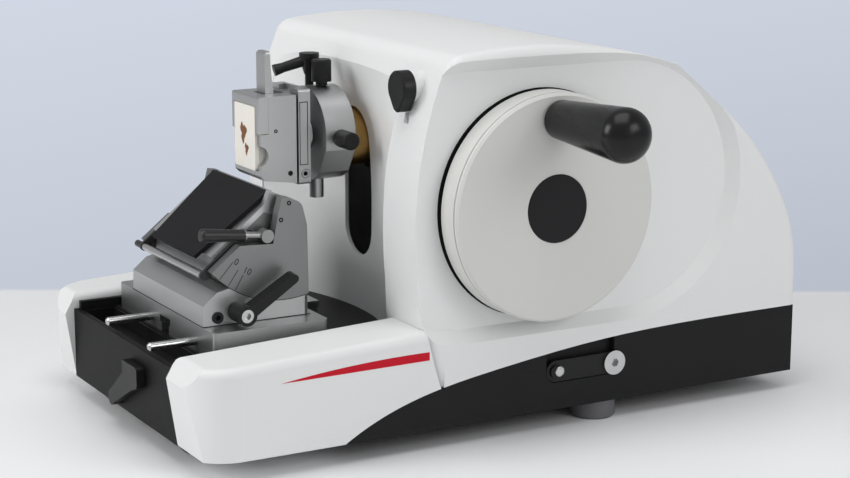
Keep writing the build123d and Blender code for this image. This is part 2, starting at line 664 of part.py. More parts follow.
plate_x = (work_x - 21.5, work_x + 21.5)
plate_y = (-106.0, -97.0)
plate_z = (162.5, 228.6)
with BuildPart() as head_plate:
    with BuildSketch(Plane.XZ.offset(-plate_y[1])):
        with Locations((work_x, (plate_z[0] + plate_z[1]) / 2)):
            RectangleRounded(plate_x[1] - plate_x[0], plate_z[1] - plate_z[0], 2)
    extrude(amount=plate_y[1] - plate_y[0])
    bar((work_x, plate_y[1] - 1, drum_z), (0, 1, 0), ball_centre[1] - plate_y[1] + 1, neck_r)
    with Locations(ball_centre):
        Sphere(ball_r)
    # dovetail groove for the cassette clamp
    with BuildSketch(Plane.XY.offset(plate_z[0])):
        with BuildLine():
            Polyline((work_x - 9, plate_y[0]), (work_x - 12, plate_y[0] + 6),
                     (work_x + 12, plate_y[0] + 6), (work_x + 9, plate_y[0]), close=True)
        make_face()
    extrude(amount=80, mode=Mode.SUBTRACT)
    # gib let into the side, with a groove round it, and its screw hole
    with BuildSketch(Plane.YZ.offset(plate_x[1])):
        with Locations((plate_y[0] + 4, 198)):
            Rectangle(6.4, 44)
            Rectangle(5.2, 42.8, mode=Mode.SUBTRACT)
    extrude(amount=-1.2, mode=Mode.SUBTRACT)
    bar((plate_x[1] - 4, plate_y[0] + 5, 170), (1, 0, 0), 5, 3.2, mode=Mode.SUBTRACT)
save(head_plate, "head_plate")

clamp_y = (-128.6, plate_y[0] - 1.6)
clamp_z_range = (164.0, 225.0)
lever_pivot = (-120.0, 218.5)
lip_z = (167.2, 173.4)   # lip below the block
lip_y = -134.5
wall_top = 199.4
block_x = (work_x - 16.8, work_x + 16.2)
with BuildPart() as cassette_clamp:
    with BuildSketch(Plane.YZ.offset(plate_x[0])):
        with BuildLine():
            Polyline((clamp_y[1], clamp_z_range[0]), (clamp_y[1], clamp_z_range[1]),
                     (clamp_y[0], clamp_z_range[1]), (clamp_y[0], lip_z[1]), (lip_y, lip_z[1]),
                     (lip_y, lip_z[0] + 3), (lip_y + 3, lip_z[0]), close=True)
        make_face()
    extrude(amount=plate_x[1] - plate_x[0])
    with BuildSketch(Plane.XY.offset(clamp_z_range[0])):
        with BuildLine():
            Polyline((work_x - 8.8, clamp_y[1]), (work_x - 8.8, plate_y[0]),
                     (work_x - 11.6, plate_y[0] + 5.8), (work_x + 11.6, plate_y[0] + 5.8),
                     (work_x + 8.8, plate_y[0]), (work_x + 8.8, clamp_y[1]), close=True)
        make_face()
    extrude(amount=clamp_z_range[1] - clamp_z_range[0])
    # side walls beside the block, with finger scoops
    for x in ((plate_x[0], block_x[0] - 0.3), (block_x[1] + 0.3, plate_x[1])):
        block(x, (lip_y, clamp_y[0]), (lip_z[1], wall_top))
    bar((plate_x[0] - 1, lip_y - 1.5, 184.5), (1, 0, 0), 60, 7, mode=Mode.SUBTRACT)
    # pocket of the release lever
    block((work_x - 8, work_x + 8), (-126.2, -110), (lever_pivot[1] - 7, 240), mode=Mode.SUBTRACT)
    bar((work_x - 12, lever_pivot[0], lever_pivot[1]), (1, 0, 0), 24, 2, mode=Mode.SUBTRACT)
save(cassette_clamp, "cassette_clamp")

with BuildPart() as release_lever:
    with BuildSketch(Plane.YZ.offset(work_x - 7)):
        with Locations(lever_pivot):
            Circle(5)
        with BuildLine():
            Polyline((-124, lever_pivot[1]), (-124, 252), (-122.5, 254), (-120, 254),
                     (-119.4, 240), (-117, lever_pivot[1]), close=True)
        make_face()
    extrude(amount=14)
    bar((work_x - 12, lever_pivot[0], lever_pivot[1]), (1, 0, 0), 24, 2 - running)
    fillet(release_lever.edges().filter_by(Axis.Y).group_by(Axis.Z)[-1], 2)
save(release_lever, "release_lever")

block_z = (174.0, 218.0)
face_y = -136.5
with BuildPart() as clamp_jaw:
    block((plate_x[0], plate_x[1]), (face_y + 0.4, clamp_y[0] - 0.1), (block_z[1] + 0.4, 225))
    for x in ((plate_x[0], block_x[0] - 0.3), (block_x[1] + 0.3, plate_x[1])):
        block(x, (face_y + 0.4, clamp_y[0] - 0.1), (199.8, 225))
    fillet(clamp_jaw.edges().filter_by(Axis.X).group_by(Axis.Z)[-1].sort_by(Axis.Y)[0], 1.5)
save(clamp_jaw, "clamp_jaw")

with BuildPart() as cassette:
    block((block_x[0] + 0.4, block_x[1] - 0.4), (-133.5, clamp_y[0]), (block_z[0] + 1, block_z[1]))
    for i in range(3):
        block((block_x[0] + 4, block_x[1] - 4), (-130.5, -128), (182 + 10 * i, 188 + 10 * i),
              mode=Mode.SUBTRACT)
save(cassette, "cassette")

with BuildPart() as paraffin_block:
    block(block_x, (face_y, -133.5), block_z)
    fillet(paraffin_block.edges().filter_by(Axis.Y), 1.5)
save(paraffin_block, "paraffin_block")

with BuildPart() as side_knob:
    bar((work_x + socket_r + 3, knob_y, side_knob_z), (1, 0, 0), drum_r - socket_r, 3)
    bar((work_x + drum_r + slip, knob_y, side_knob_z), (1, 0, 0), 16, 6.2)
    fillet(side_knob.edges().group_by(Axis.X)[-1], 1.5)
save(side_knob, "side_knob")

with BuildPart() as top_knob:
    bar((top_knob_x, knob_y, drum_z + socket_r + 3), (0, 0, 1), drum_r - socket_r, 3)
    bar((top_knob_x, knob_y, drum_z + drum_r + slip), (0, 0, 1), 3, 4)
    bar((top_knob_x, knob_y, drum_z + drum_r + 3), (0, 0, 1), 15.5, 7)
    fillet(top_knob.edges().group_by(Axis.Z)[-1], 1.5)
save(top_knob, "top_knob")

lever_hub_z = drum_z + drum_r + 11
with BuildPart() as head_clamp_lever:
    bar((*lever_at, drum_z + socket_r + 3), (0, 0, 1), drum_r - 6, 3)
    taper((*lever_at, lever_hub_z - 5), (0, 0, 1), 12, 3.6, 7)
    bar((*lever_at, lever_hub_z + 7), (0, 0, 1), 3, 7)
    taper((lever_at[0], lever_at[1], lever_hub_z + 5.5), (-0.2, -0.85, -0.25), 22, 4, 3.4)
    taper((lever_at[0] - 4.5, lever_at[1] - 19, lever_hub_z - 0.1), (-0.2, -0.85, -0.25), 6, 3.6, 4.2)
save(head_clamp_lever, "head_clamp_lever")

# Knife base on the T rail
base_x = (mid_x - 84, mid_x + 84)
base_y = (-197.6, -114.0)
base_z = (deck_z + 0.1, 81.8)
rail_gap = 0.2
pin_r = 2.9
with BuildPart() as knife_base:
    block(base_x, base_y, base_z)
    fillet(knife_base.edges().filter_by(Axis.Z), 3)
    block((t_mid - t_neck - rail_gap, t_mid + t_neck + rail_gap), (-260, 0),
          (deck_z - 1, rail_z[0] + 1), mode=Mode.SUBTRACT)
    block((t_mid - t_head - rail_gap, t_mid + t_head + rail_gap), (-260, 0),
          (rail_z[0] - rail_gap, rail_z[1] + rail_gap), mode=Mode.SUBTRACT)
    for x in (-63, 13):
        bar((x, -201, rib_z + 1.2), (0, 1, 0), 30, pin_r, mode=Mode.SUBTRACT)
save(knife_base, "knife_base")

with BuildPart() as base_pins:
    for x in (-63, 13):
        bar((x, -231.5, rib_z + 1.2), (0, 1, 0), 60.5, pin_r)
    chamfer(base_pins.edges().group_by(Axis.Y)[0], 1)
save(base_pins, "base_pins")

with BuildPart() as base_clamp_lever:
    with BuildSketch(Plane.XZ.offset(-panel_y + slip)):
        with BuildLine():
            Polyline((clamp_x - 13, clamp_z + 8), (clamp_x + 13, clamp_z + 8),
                     (clamp_x + 13, clamp_z - 6), (clamp_x + 2, clamp_z - 10), (-44, 17.5),
                     (-51, 24.5), (clamp_x - 13, clamp_z - 1), close=True)
        make_face()
        with Locations((-47, 21)):
            Circle(5.5)
    extrude(amount=6)
    fillet(base_clamp_lever.edges().filter_by(Axis.Y).sort_by(Axis.X)[-2:], 3)
    bar((clamp_x, panel_y - 3, clamp_z), (0, 1, 0), 34, clamp_r)
save(base_clamp_lever, "base_clamp_lever")

# Knife holder: the segment tilts in a seat whose centre is the cutting edge
seat_r = 71.3
segment_r = 71.0
holder_x = (work_x - 61, work_x + 63)
corner_screw = (-187.0, 87.5)


def on_seat(y, radius):
    """Height on an arc about the cutting edge, below it."""
    return edge_z - math.sqrt(radius ** 2 - (y - edge_y) ** 2)


with BuildPart() as holder_block:
    with BuildSketch(Plane.YZ.offset(holder_x[0])):
        with BuildLine():
            seat = ThreePointArc((-178, on_seat(-178, seat_r)), (-150, on_seat(-150, seat_r)),
                                 (-121, on_seat(-121, seat_r)))
            Polyline(seat @ 1, (-119, on_seat(-121, seat_r)), (-119, base_z[1]),
                     (-197.5, base_z[1]), (-197.2, 96), (-187, 104.5), seat @ 0)
        make_face()
    extrude(amount=holder_x[1] - holder_x[0])
    chamfer(holder_block.edges().filter_by(Axis.Z).group_by(Axis.Y)[0], 4)
    for x, hand in ((holder_x[0], -1), (holder_x[1], 1)):
        bar((x - 7 * hand, *corner_screw), (hand, 0, 0), 10, 4, mode=Mode.SUBTRACT)
    bar((holder_x[1] - 12, -173, 90.5), (1, 0, 0), 20, 3 + running, mode=Mode.SUBTRACT)
save(holder_block, "holder_block")

with BuildPart() as eccentric_screws:
    for x, hand in ((holder_x[0], -1), (holder_x[1], 1)):
        bar((x - 7 * hand, *corner_screw), (hand, 0, 0), 8, 4)
        with BuildSketch(Plane.YZ.offset(x + hand)):
            with Locations(corner_screw):
                RegularPolygon(2.1, 6)
        extrude(amount=-3 * hand, mode=Mode.SUBTRACT)
save(eccentric_screws, "eccentric_screws")

# Blade plane: distance along the slope from the edge, and height above the blade
slope = math.radians(38.6)
along = (-math.cos(slope), -math.sin(slope))
above = (-math.sin(slope), math.cos(slope))


def on_blade(s, n):
    """Point in the YZ plane at a distance down the slope and a height above it."""
    return (edge_y + s * along[0] + n * above[0], edge_z + s * along[1] + n * above[1])


def blade_profile(*points):
    """Closed outline from points given on the slope."""
    with BuildSketch() as outline:
        with BuildLine():
            Polyline(*[on_blade(s, n) for s, n in points], close=True)
        make_face()
    return outline.sketch


inner_half = 50.5        # half width between the guard arms
knife_mid = work_x + 1
centre_x = (knife_mid - inner_half, knife_mid + inner_half)
arm_slot = 3.5
plate_low = 4.0          # back plate thickness
pivot_blade_lever = (-150.2, 138.9)
guard_pivot = (-159.7, 139.7)
stop_width = 5.0         # end stop of the blade
stop_corners = [(-142.6, 167.0), (-131.6, 161.9), (-138.4, 149.6), (-148.7, 153.3)]
with BuildPart() as segment_block:
    for x in (holder_x[0], centre_x[1] + arm_slot):
        with BuildSketch(Plane.YZ.offset(x)):
            with BuildLine():
                under = ThreePointArc((-119.8, on_seat(-119.8, segment_r)),
                                      (-150, on_seat(-150, segment_r)),
                                      (-190.3, on_seat(-190.3, segment_r)))
                Polyline(under @ 1, (-190.3, 118.2), (-170, 134.2), (-145.8, 133.2),
                         (-142, 152.4), (-138.8, 164), (-133, 163.2), (-124.4, 159), (-120.6, 143.4),
                         under @ 0)
            make_face()
            fillet(vertices().sort_by_distance((-124.4, 159))[0], 8)
        extrude(amount=holder_x[1] - centre_x[1] - arm_slot)
    with BuildSketch(Plane.YZ.offset(holder_x[0])):
        with BuildLine():
            low = ThreePointArc((-134, on_seat(-134, segment_r)), (-150, on_seat(-150, segment_r)),
                                (-176, on_seat(-176, segment_r)))
            up = ThreePointArc((-176, on_seat(-176, segment_r - 3.5)),
                               (-150, on_seat(-150, segment_r - 3.5)),
                               (-134, on_seat(-134, segment_r - 3.5)))
            Line(low @ 1, up @ 0)
            Line(up @ 1, low @ 0)
        make_face()
    extrude(amount=holder_x[1] - holder_x[0])
    with BuildSketch(Plane.YZ.offset(centre_x[0])):
        with BuildLine():
            Polyline(on_blade(62, -plate_low), on_blade(5.5, -plate_low), (-138.6, 150),
                     (-138.6, 126), (-148, 112), (-148, on_seat(-148, segment_r - 1)),
                     (-170, on_seat(-170, segment_r - 1)), (-184, on_seat(-184, segment_r - 1)),
                     close=True)
        make_face()
    extrude(amount=centre_x[1] - centre_x[0])
    block(centre_x, (-138.4, -100), (150, 170), mode=Mode.SUBTRACT)
    with BuildSketch(Plane.YZ.offset(centre_x[1] - stop_width)):
        with BuildLine():
            Polyline(*stop_corners, close=True)
        make_face()
    extrude(amount=stop_width, mode=Mode.SUBTRACT)
    bar((centre_x[1] - 6, *pivot_blade_lever), (1, 0, 0), 8, 2 + running, mode=Mode.SUBTRACT)
    for x in (centre_x[0] - arm_slot, centre_x[1]):
        bar((x - 6, *guard_pivot), (1, 0, 0), 16, 2 + running, mode=Mode.SUBTRACT)
save(segment_block, "segment_block")

with BuildPart() as blade_back_plate:
    with BuildSketch(Plane.YZ.offset(centre_x[0])):
        add(blade_profile((1.2, -0.25), (62, -0.25), (62, -plate_low), (5.5, -plate_low)))
    extrude(amount=centre_x[1] - centre_x[0])
    # side stop of the blade
    with BuildSketch(Plane.YZ.offset(centre_x[1] - stop_width)):
        with BuildLine():
            Polyline(*stop_corners, close=True)
        make_face()
    extrude(amount=stop_width)
save(blade_back_plate, "blade_back_plate")

blade_x = (knife_mid - 44, knife_mid + 44)
with BuildPart() as blade:
    with BuildSketch(Plane.YZ.offset(blade_x[0])):
        add(blade_profile((0, -0.02), (0.8, -0.25), (10, -0.25), (10, 0), (0.8, 0)))
    extrude(amount=blade_x[1] - blade_x[0])
save(blade, "blade")

plate_hinge = on_blade(66, 1.4)
plate_far = 68.0
slope_plane = Plane(origin=(0, edge_y, edge_z), x_dir=(1, 0, 0),
                    z_dir=(0, above[0], above[1]))
with BuildPart() as pressure_plate:
    with BuildSketch(slope_plane.offset(0.15)):
        with BuildLine():
            Polyline((knife_mid - 45, -1.6), (knife_mid + 45, -1.6), (knife_mid + 44, -14),
                     (knife_mid + 37, -plate_far), (knife_mid - 37, -plate_far),
                     (knife_mid - 44, -14), close=True)
        make_face()
    extrude(amount=2.6)
    chamfer(pressure_plate.faces().sort_by(Axis.Z)[-1].edges().sort_by(Axis.Z)[-1], 1.2)
save(pressure_plate, "pressure_plate")

rod_place = (-192.4, 114.3)
with BuildPart() as knife_guard:
    guard_arms = (centre_x[0] - arm_slot + 0.5, centre_x[1] + 0.5)
    for x in guard_arms:
        with BuildSketch(Plane.YZ.offset(x)):
            link(guard_pivot, rod_place, 6)
        extrude(amount=arm_slot - 1)
    bar((holder_x[0] - 2, *rod_place), (1, 0, 0), centre_x[1] + arm_slot - 0.5 - holder_x[0] + 2, 2.4)
    bar((guard_arms[0] - 3, *guard_pivot), (1, 0, 0), 5, 2)
    bar((guard_arms[1] - 5, *guard_pivot), (1, 0, 0), 8, 2)
save(knife_guard, "knife_guard")

lever_x = centre_x[1] + arm_slot + 5.4
with BuildPart() as blade_lever:
    bar((lever_x - 4, *pivot_blade_lever), (1, 0, 0), 8, 4.5)
    bar((centre_x[1] - 5.5, *pivot_blade_lever), (1, 0, 0), 12, 2)
    bar((lever_x, *pivot_blade_lever), (0, -1, 0.1), 20, 2.5)
    taper((lever_x, -165, pivot_blade_lever[1] + 1.4), (0, -1, 0.1), 32.5, 4, 4.7)
    fillet(blade_lever.edges().group_by(Axis.Y)[0], 2)
save(blade_lever, "blade_lever")

# Clearance angle lever beside the holder
lever_hub = (-173.0, 90.5)
lever_tip = (-138.7, 112.0)
with BuildPart() as clearance_lever:
    bar((holder_x[1] + slip, *lever_hub), (1, 0, 0), 17.5, 6.8)
    bar((holder_x[1] - 11.5, *lever_hub), (1, 0, 0), 14, 3)
    with BuildSketch(Plane.YZ.offset(holder_x[1] + 9)):
        with Locations(lever_hub):
            Circle(4.6)
        with Locations(lever_tip):
            Circle(3.6)
        make_hull()
    extrude(amount=8.8, taper=4)
    bar((holder_x[1] + 14, *lever_hub), (1, 0, 0), 10, 4.5, mode=Mode.SUBTRACT)
save(clearance_lever, "clearance_lever")

with BuildPart() as lever_screw:
    bar((holder_x[1] + 14, *lever_hub), (1, 0, 0), 3.4, 4.5)
    with BuildSketch(Plane.YZ.offset(holder_x[1] + 17.4)):
        with Locations(lever_hub):
            RegularPolygon(2.6, 6)
    extrude(amount=-2.5, mode=Mode.SUBTRACT)
save(lever_screw, "lever_screw")

# Thickness setting
with BuildPart() as thickness_knob:
    with BuildSketch(Plane.XZ.offset(-knob_back)):
        with Locations((knob_x, knob_z)):
            Circle(11.5)
        with Locations((knob_x, knob_z - 11)):
            Circle(5)
        make_hull()
    extrude(amount=knob_back - knob_front)
    chamfer(thickness_knob.faces().sort_by(Axis.Y)[0].edges(), 1)
    bar((knob_x, knob_back - 1, knob_z), (0, 1, 0), -43 - knob_back, 4)
save(thickness_knob, "thickness_knob")

with BuildPart() as setting_cam:
    with BuildSketch(Plane.XZ.offset(47.8)):
        with Locations((knob_x + 3, knob_z)):
            Ellipse(13, 11.2)
        with Locations((knob_x, knob_z)):
            Circle(4, mode=Mode.SUBTRACT)
    extrude(amount=-5)
save(setting_cam, "setting_cam")

with BuildPart() as knob_pointer:
    with BuildSketch(Plane.XZ.offset(70.2)):
        with BuildLine():
            Polyline((knob_x - 2.5, 215), (knob_x + 2.5, 215), (knob_x, 222), close=True)
        make_face()
    extrude(amount=-6)
    with BuildSketch(Plane.YZ.offset(body_left)):
        add(housing(0, 20))
    extrude(amount=300, mode=Mode.SUBTRACT)
save(knob_pointer, "knob_pointer")

# Handwheel brake in the recess of the base
with BuildPart() as brake_lever:
    with BuildSketch(Plane.YZ.offset(brake_x)):
        link(brake_pivot, brake_end, 2 * brake_half)
    extrude(amount=4.5)
    bar((brake_x + 4.5, *brake_end), (1, 0, 0), 1.5, 4.6)
    bar((brake_x - 10, *brake_pivot), (1, 0, 0), 20, 4, mode=Mode.SUBTRACT)
save(brake_lever, "brake_lever")

with BuildPart() as brake_shaft:
    bar((76, *brake_pivot), (1, 0, 0), brake_x + 4.6 - 76, 4)
    bar((brake_x + 4.6, *brake_pivot), (1, 0, 0), 1.6, brake_hub)
    with BuildSketch(Plane.YZ.offset(brake_x + 6.2)):
        with Locations(brake_pivot):
            RegularPolygon(3.2, 6)
    extrude(amount=-3, mode=Mode.SUBTRACT)
save(brake_shaft, "brake_shaft")
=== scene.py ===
"""Looks of a rotary microtome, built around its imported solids. Metres, +Z up."""

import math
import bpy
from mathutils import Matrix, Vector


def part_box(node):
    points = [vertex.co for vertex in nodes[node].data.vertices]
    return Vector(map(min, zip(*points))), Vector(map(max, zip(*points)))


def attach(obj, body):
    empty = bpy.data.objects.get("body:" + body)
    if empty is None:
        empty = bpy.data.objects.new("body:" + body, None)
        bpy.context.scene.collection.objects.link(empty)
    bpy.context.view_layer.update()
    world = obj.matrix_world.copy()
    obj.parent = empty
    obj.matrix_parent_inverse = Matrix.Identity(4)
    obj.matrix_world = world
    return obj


bl_info = {
    "name": "Rotary microtome",
    "version": (1, 0, 0),
    "blender": (4, 5, 0),
    "location": "View3D > Sidebar > Microtome",
    "description": "Finishes and small details of a rotary microtome, with its stage",
    "category": "Object",
}

import bmesh
import bpy
from bpy.props import FloatProperty, FloatVectorProperty
from mathutils import Matrix, Vector

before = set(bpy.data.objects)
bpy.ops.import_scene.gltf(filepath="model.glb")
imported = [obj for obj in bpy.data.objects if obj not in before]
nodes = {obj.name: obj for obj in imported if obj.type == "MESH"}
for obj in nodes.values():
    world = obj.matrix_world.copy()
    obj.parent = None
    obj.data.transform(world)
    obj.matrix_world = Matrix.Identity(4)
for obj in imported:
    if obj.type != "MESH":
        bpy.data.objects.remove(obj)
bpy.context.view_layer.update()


class Signal:
    """A shader socket or number that can be written in a formula."""

    def __init__(self, tree, source):
        self.tree = tree
        self.source = source

    def math(self, operation, *others):
        node = self.tree.nodes.new("ShaderNodeMath")
        node.operation = operation
        for slot, value in zip(node.inputs, others):
            connect(self.tree, slot, value)
        return Signal(self.tree, node.outputs[0])

    def __add__(self, other):
        return self.math("ADD", self, other)

    __radd__ = __add__

    def __sub__(self, other):
        return self.math("SUBTRACT", self, other)

    def __rsub__(self, other):
        return self.math("SUBTRACT", other, self)

    def __mul__(self, other):
        return self.math("MULTIPLY", self, other)

    __rmul__ = __mul__

    def __truediv__(self, other):
        return self.math("DIVIDE", self, other)

    def __rtruediv__(self, other):
        return self.math("DIVIDE", other, self)

    def __pow__(self, other):
        return self.math("POWER", self, other)

    def clamp(self):
        return self.math("MINIMUM", self.math("MAXIMUM", self, 0.0), 1.0)

    def above(self, edge, soft):
        """0 below an edge, 1 above it, with a soft step."""
        return ((self - edge) / soft + 0.5).clamp()


def connect(tree, slot, value):
    """Puts a link, a colour or a number into a socket."""
    if isinstance(value, Signal):
        tree.links.new(value.source, slot)
    elif isinstance(value, (tuple, list)) and len(value) == 3 and slot.type == "RGBA":
        slot.default_value = (*value, 1.0)
    else:
        slot.default_value = value


class Finish:
    """A material and the nodes that vary it over a surface."""

    def __init__(self, name, **constants):
        self.material = bpy.data.materials.new(name)
        self.material.use_nodes = True
        self.tree = self.material.node_tree
        self.shader = self.tree.nodes["Principled BSDF"]
        for key, value in constants.items():
            self.set(key.replace("_", " "), value)

    def set(self, socket, value):
        connect(self.tree, self.shader.inputs[socket], value)

    def node(self, kind, settings=None, inputs=None, output=0):
        """Adds any other node: its settings first, then its inputs."""
        node = self.tree.nodes.new(kind)
        for key, value in (settings or {}).items():
            if key == "stops":
                ramp = node.color_ramp
                for place, colour in value:
                    stop = ramp.elements.new(place)
                    stop.color = (*colour, 1.0)
                ramp.elements.remove(ramp.elements[0])
                ramp.elements.remove(ramp.elements[-1])
            else:
                setattr(node, key, value)
        for key, value in (inputs or {}).items():
            connect(self.tree, node.inputs[key], value)
        return Signal(self.tree, node.outputs[output])

    def place(self):
        return self.node("ShaderNodeTexCoord", output=3)

    def axis(self, name):
        """One coordinate of the surface, in metres."""
        split = self.node("ShaderNodeSeparateXYZ", inputs={0: self.place()}).source.node
        return Signal(self.tree, split.outputs[name])

    def stretched(self, scale):
        return self.node("ShaderNodeMapping", inputs={"Vector": self.place(), "Scale": scale})

    def noise(self, scale, detail=2.0, stretch=None):
        where = self.stretched(stretch) if stretch else self.place()
        return self.node("ShaderNodeTexNoise",
                         inputs={"Vector": where, "Scale": scale, "Detail": detail})

    def mix(self, share, low, high):
        """A colour between two colours."""
        node = self.tree.nodes.new("ShaderNodeMix")
        node.data_type = "RGBA"
        connect(self.tree, node.inputs[0], share)
        connect(self.tree, node.inputs[6], low)
        connect(self.tree, node.inputs[7], high)
        return Signal(self.tree, node.outputs[2])

    def bump(self, height, strength, depth):
        self.set("Normal", self.node("ShaderNodeBump", inputs={
            "Height": height, "Strength": strength, "Distance": depth}))


def shade(colour, factor):
    return tuple(min(1.0, channel * factor) for channel in colour)


# Finishes of the real object

def moulded_shell(name, colour):
    """Structured light paint on a moulded shell."""
    skin = Finish(name, IOR=1.45)
    tone = skin.noise(6.0, 3.0)
    skin.set("Base Color", skin.mix(tone, shade(colour, 0.985), shade(colour, 1.015)))
    grain = skin.noise(900.0, 3.0)
    skin.set("Roughness", 0.42 + grain * 0.08)
    skin.bump(grain, 0.22, 0.00025)
    return skin.material


def structured_black(name, colour, gloss=0.22):
    """Black paint with a fine orange-peel structure on cast metal."""
    paint = Finish(name, IOR=1.5, Specular_IOR_Level=gloss)
    wear = paint.noise(25.0, 4.0)
    paint.set("Base Color", paint.mix(wear, shade(colour, 0.85), shade(colour, 1.25)))
    grain = paint.noise(1100.0, 2.0)
    paint.set("Roughness", 0.44 + grain * 0.14)
    paint.bump(grain, 0.35, 0.0003)
    return paint.material


def machined(name, colour, stretch, rough=0.3):
    """Metal with tool marks along one direction, and faint stains."""
    metal = Finish(name, Metallic=1.0)
    marks = metal.noise(1.0, 3.0, stretch)
    stain = metal.noise(30.0, 3.0)
    metal.set("Base Color", metal.mix(stain, shade(colour, 0.9), shade(colour, 1.06)))
    metal.set("Roughness", rough - 0.06 + marks * 0.12 + stain * 0.05)
    metal.bump(marks, 0.12, 0.00008)
    return metal.material


def bead_blasted(name, colour, rough=0.42):
    """Matt satin metal with a fine even grain."""
    metal = Finish(name, Metallic=1.0)
    grain = metal.noise(1600.0, 2.0)
    stain = metal.noise(22.0, 3.0)
    metal.set("Base Color", metal.mix(stain, shade(colour, 0.93), shade(colour, 1.05)))
    metal.set("Roughness", rough - 0.04 + grain * 0.08)
    metal.bump(grain, 0.15, 0.0001)
    return metal.material


def polished(name, colour):
    """Bright turned steel with faint handling marks."""
    metal = Finish(name, Metallic=1.0)
    marks = metal.noise(180.0, 4.0)
    metal.set("Base Color", metal.mix(marks, shade(colour, 0.92), shade(colour, 1.06)))
    metal.set("Roughness", 0.16 + marks * 0.12)
    metal.bump(metal.noise(2600.0, 2.0), 0.05, 0.00004)
    return metal.material


def knob_plastic(name, colour, rough=0.36):
    """Dark moulded plastic with a faint sheen and handling marks."""
    plastic = Finish(name, IOR=1.49, Specular_IOR_Level=0.3)
    wear = plastic.noise(60.0, 4.0)
    grain = plastic.noise(1300.0, 2.0)
    plastic.set("Base Color", plastic.mix(wear, shade(colour, 0.85), shade(colour, 1.3)))
    plastic.set("Roughness", rough + wear * 0.12)
    plastic.bump(grain, 0.14, 0.0002)
    return plastic.material


def foot_rubber(name, colour):
    rubber = Finish(name)
    dust = rubber.noise(120.0, 3.0)
    rubber.set("Base Color", rubber.mix(dust, shade(colour, 0.9), shade(colour, 1.2)))
    rubber.set("Roughness", 0.7 + dust * 0.15)
    rubber.bump(rubber.noise(900.0), 0.2, 0.0003)
    return rubber.material


def wax(name, colour):
    """Cloudy paraffin."""
    wax = Finish(name, Subsurface_Weight=0.1, Subsurface_Scale=0.003, IOR=1.44)
    cloud = wax.noise(140.0, 4.0)
    wax.set("Base Color", wax.mix(cloud, shade(colour, 0.95), shade(colour, 1.04)))
    wax.set("Roughness", 0.36 + cloud * 0.16)
    wax.bump(wax.noise(420.0, 3.0), 0.18, 0.0003)
    return wax.material


def print_and_shade(name, colour, rough=0.4):
    """A flat finish for ink, film and painted shade, a little uneven."""
    ink_and_shade = Finish(name, Specular_IOR_Level=0.2)
    tone = ink_and_shade.noise(300.0, 3.0)
    ink_and_shade.set("Base Color", ink_and_shade.mix(tone, shade(colour, 0.93), shade(colour, 1.05)))
    ink_and_shade.set("Roughness", rough + tone * 0.1)
    return ink_and_shade.material


# Mesh helpers

def make_piece(name, mesh, material, body):
    piece = bpy.data.objects.new(name, mesh)
    bpy.context.scene.collection.objects.link(piece)
    mesh.materials.append(material)
    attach(piece, body)
    return piece


def slab(name, outline, depth, lift):
    """A thin closed sheet from an outline of 3-D points, thickened along a direction."""
    bm = bmesh.new()
    low = [bm.verts.new(Vector(p)) for p in outline]
    high = [bm.verts.new(Vector(p) + Vector(lift) * depth) for p in outline]
    bm.faces.new(low[::-1])
    bm.faces.new(high)
    count = len(outline)
    for i in range(count):
        j = (i + 1) % count
        bm.faces.new((low[i], low[j], high[j], high[i]))
    bmesh.ops.recalc_face_normals(bm, faces=bm.faces)
    mesh = bpy.data.meshes.new(name)
    bm.to_mesh(mesh)
    bm.free()
    return mesh


def circle(radius, count, y=0.0, sides=None):
    """Points of a circle in the XZ plane, or of a polygon with the same count of points."""
    points = []
    for i in range(count):
        angle = 2 * math.pi * i / count
        reach = radius
        if sides:
            step = 2 * math.pi / sides
            reach = radius * math.cos(step / 2) / math.cos(angle % step - step / 2)
        points.append(Vector((reach * math.cos(angle), y, reach * math.sin(angle))))
    return points


def loft_mesh(name, rings, turn, place):
    """A closed mesh over rings of points, closed by a flat at both ends."""
    bm = bmesh.new()
    rows = [[bm.verts.new(turn @ point + Vector(place)) for point in ring] for ring in rings]
    for low, high in zip(rows, rows[1:]):
        for i in range(len(low)):
            j = (i + 1) % len(low)
            bm.faces.new((low[i], low[j], high[j], high[i]))
    bm.faces.new(rows[0][::-1])
    bm.faces.new(rows[-1])
    bmesh.ops.recalc_face_normals(bm, faces=bm.faces)
    mesh = bpy.data.meshes.new(name)
    bm.to_mesh(mesh)
    bm.free()
    return mesh


def ring_mesh(name, rings):
    """A closed ring over rows of points, the last row joined to the first."""
    bm = bmesh.new()
    rows = [[bm.verts.new(point) for point in ring] for ring in rings]
    for low, high in zip(rows, rows[1:] + rows[:1]):
        for i in range(len(low)):
            j = (i + 1) % len(low)
            bm.faces.new((low[i], low[j], high[j], high[i]))
    bmesh.ops.recalc_face_normals(bm, faces=bm.faces)
    mesh = bpy.data.meshes.new(name)
    bm.to_mesh(mesh)
    bm.free()
    return mesh


def strip(name, corners, lift, material, body):
    """A thin strip from four corners, lifted off the surface it lies on."""
    return make_piece(name, slab(name, corners, 0.0002, lift), material, body)


def facing(direction):
    """Turn that brings -Y, the front of a lofted piece, to a direction."""
    return Vector(direction).to_track_quat("-Y", "Z").to_matrix()


def socket_screw(name, place, direction, radius, height, material, body):
    """Screw head with a chamfered rim and a hexagon socket, whose inside faces get a near-black
    finish as painted shade.
    """
    count = 36
    key = 0.52 * radius
    rings = [circle(radius, count, 0.0), circle(radius, count, -0.85 * height),
             circle(0.9 * radius, count, -height), circle(key * 1.12, count, -height),
             circle(key, count, -0.96 * height, 6), circle(key, count, -0.35 * height, 6)]
    mesh = loft_mesh(name, rings, facing(direction), place)
    piece = make_piece(name, mesh, material, body)
    # painted shade: the faces inside the socket get a near-black finish
    mesh.materials.append(print_and_shade(name + " socket", (0.015, 0.015, 0.015), 0.6))
    for face in mesh.polygons:
        away = face.center - Vector(place)
        beside = away - Vector(direction) * away.dot(Vector(direction))
        if away.dot(Vector(direction)) > 0.3 * height and beside.length < key:
            face.material_index = 1
    return piece


